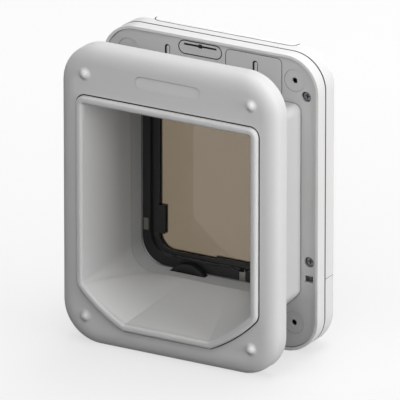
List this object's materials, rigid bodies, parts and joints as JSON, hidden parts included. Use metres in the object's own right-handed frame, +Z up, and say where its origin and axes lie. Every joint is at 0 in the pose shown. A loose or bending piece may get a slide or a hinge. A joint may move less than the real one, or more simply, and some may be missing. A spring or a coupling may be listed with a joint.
{
  "type": "electronic cat flap",
  "caption": "Self-lining cat flap: a grey outdoor frame with a flared tunnel slides in the sleeve of a white indoor unit that holds a smoked swinging flap, a latch and a lock knob.",
  "frame": {"origin": "middle of the footprint, on the level that both frames stand on", "axes": "+Z up, +X across the flap, -Y towards outdoors, +Y towards indoors"},
  "size_m": [0.2, 0.108, 0.254],
  "materials": {
    "frame_grey": "moulded ABS, fine satin texture",
    "plate_grey": "moulded ABS, satin",
    "cover_white": "moulded ABS, semi-gloss white",
    "black_abs": "moulded ABS, satin black",
    "smoked_window": "smoked polycarbonate, polished",
    "bright_steel": "plated steel",
    "dark_screw_steel": "blackened steel",
    "magnet_nickel": "nickel-plated magnet",
    "cell_jacket": "printed steel jacket",
    "copper_winding": "enamelled copper wire",
    "solenoid_yoke": "zinc-plated steel",
    "board_green": "solder-masked glass-fibre board",
    "lens_red": "clear red acrylic"
  },
  "bodies": {
    "indoor_unit": {"door_plate": "plate_grey", "vent_insert": "plate_grey", "housing_band": "cover_white", "case_screws": "dark_screw_steel", "flap_surround": "plate_grey", "seal_ring": "black_abs", "strike_plate_left": "bright_steel", "strike_plate_right": "bright_steel", "reader_coil": "copper_winding", "indoor_cover": "cover_white", "lower_cover": "cover_white", "battery_box": "black_abs", "battery_lower_a": "cell_jacket", "battery_lower_b": "cell_jacket", "battery_upper_a": "cell_jacket", "battery_upper_b": "cell_jacket", "contact_bridge": "bright_steel", "contact_plus": "bright_steel", "contact_minus": "bright_steel", "latch_solenoid": "solenoid_yoke", "circuit_board": "board_green", "push_switch": "black_abs", "indicator_lens": "lens_red"},
    "outdoor_unit": {"outer_frame": "frame_grey", "tunnel_liner": "frame_grey"},
    "flap": {"flap_frame": "black_abs", "flap_window": "smoked_window", "hinge_pin_left": "bright_steel", "hinge_pin_right": "bright_steel", "flap_magnet_left": "magnet_nickel", "flap_magnet_right": "magnet_nickel"},
    "latch": {"latch_bolt": "bright_steel"},
    "lock": {"lock_wheel": "black_abs", "lock_spindle": "black_abs", "lock_knob": "black_abs"},
    "button": {"push_button": "cover_white"},
    "lid": {"battery_lid": "cover_white"}
  },
  "joints": [
    {"name": "liner_slide", "type": "slide", "parent": "indoor_unit", "child": "outdoor_unit", "axis": [0, 1, 0], "range_m": [-0.025, 0]},
    {"name": "flap_swing", "type": "hinge", "parent": "indoor_unit", "child": "flap", "pos_m": [0, 0.038, 0.194], "axis": [1, 0, 0], "range_deg": [-80, 80]},
    {"name": "latch_lift", "type": "slide", "parent": "indoor_unit", "child": "latch", "axis": [0, 0, 1], "range_m": [0, 0.0044]},
    {"name": "lock_turn", "type": "hinge", "parent": "indoor_unit", "child": "lock", "pos_m": [-0.0261, 0.029, 0.0324], "axis": [0, 1, 0], "range_deg": [0, 270]},
    {"name": "button_press", "type": "slide", "parent": "indoor_unit", "child": "button", "axis": [0, -1, 0], "range_m": [0, 0.0008], "stiffness_N_per_m": 1000, "springref_m": -0.0005},
    {"name": "lid_lift", "type": "slide", "parent": "indoor_unit", "child": "lid", "axis": [0, 0, 1], "range_m": [0, 0.035]}
  ]
}
